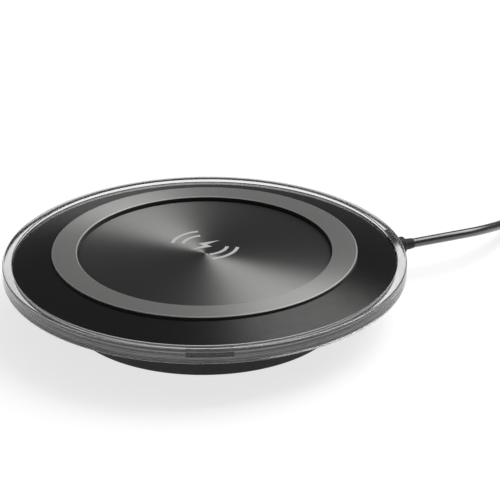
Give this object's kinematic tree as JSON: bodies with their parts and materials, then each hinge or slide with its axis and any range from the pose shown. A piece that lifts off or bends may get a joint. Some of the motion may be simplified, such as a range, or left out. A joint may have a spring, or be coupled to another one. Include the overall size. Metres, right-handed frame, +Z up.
{
  "type": "wireless charging pad",
  "caption": "Round wireless charging pad: clear rim round a gloss-black dome, raised grey rubber grip ring, spun dark centre plate, narrow matte foot, captive USB lead.",
  "frame": {"origin": "centre of the pad's underside, on the surface that it stands on", "axes": "+Z up through the middle of the pad; +Y towards the back; the lead leaves between +X and +Y; the indicator window faces -Y"},
  "size_m": [0.1816, 0.1336, 0.0176],
  "materials": {
    "clear_plastic": "clear moulded acrylic with polished faces",
    "gloss_black": "high-gloss black",
    "spun_plate": "dark grey film with a fine spun grain",
    "grip_rubber": "matte grey with a fine speckle",
    "smoked_window": "smoked translucent",
    "matte_black": "fine matte grain",
    "foot_rubber": "matte black",
    "steel": "zinc-plated",
    "adhesive": "foam tape",
    "copper": "enamelled copper",
    "ferrite": "dark sintered",
    "chip_black": "moulded",
    "board_green": "solder mask",
    "light_white": "clear resin",
    "ceramic_tan": "sintered",
    "cord_black": "smooth soft PVC",
    "wire_black": "smooth",
    "wire_red": "smooth",
    "tie_black": "hook-and-loop tape",
    "plug_black": "fine satin grain",
    "plug_steel": "nickel-plated",
    "tongue_white": "moulded",
    "contact_gold": "gold-plated"
  },
  "bodies": {
    "root": {"clear_rim": "clear_plastic", "top_cover": "gloss_black", "centre_plate": "spun_plate", "grip_ring": "grip_rubber", "indicator_window": "smoked_window", "base_shell": "matte_black", "foot_ring": "foot_rubber", "case_screw_1": "steel", "case_screw_2": "steel", "case_screw_3": "steel", "case_screw_4": "steel", "board_screw_1": "steel", "board_screw_2": "steel", "board_screw_3": "steel", "clamp_screw_1": "steel", "clamp_screw_2": "steel", "coil_adhesive": "adhesive", "transmit_coil": "copper", "ferrite_shield": "ferrite", "temperature_sensor": "chip_black", "signal_board": "board_green", "signal_light_1": "light_white", "signal_light_2": "light_white", "circuit_board": "board_green", "controller_chip": "chip_black", "power_transistor_1": "chip_black", "power_transistor_2": "chip_black", "power_transistor_3": "chip_black", "power_transistor_4": "chip_black", "resonant_capacitor_1": "ceramic_tan", "resonant_capacitor_2": "ceramic_tan", "resonant_capacitor_3": "ceramic_tan", "resonant_capacitor_4": "ceramic_tan", "coil_lead_1": "copper", "coil_lead_2": "copper", "strain_relief": "cord_black", "lead_inner_end": "cord_black", "cord_clamp": "matte_black", "wire_negative": "wire_black", "wire_positive": "wire_red", "lead_run": "cord_black", "lead_tail": "cord_black", "lead_coil": "cord_black", "lead_tie": "tie_black", "plug_body": "plug_black", "plug_shell": "plug_steel", "plug_tongue": "tongue_white", "plug_contact_1": "contact_gold", "plug_contact_2": "contact_gold", "plug_contact_3": "contact_gold", "plug_contact_4": "contact_gold"}
  },
  "joints": []
}
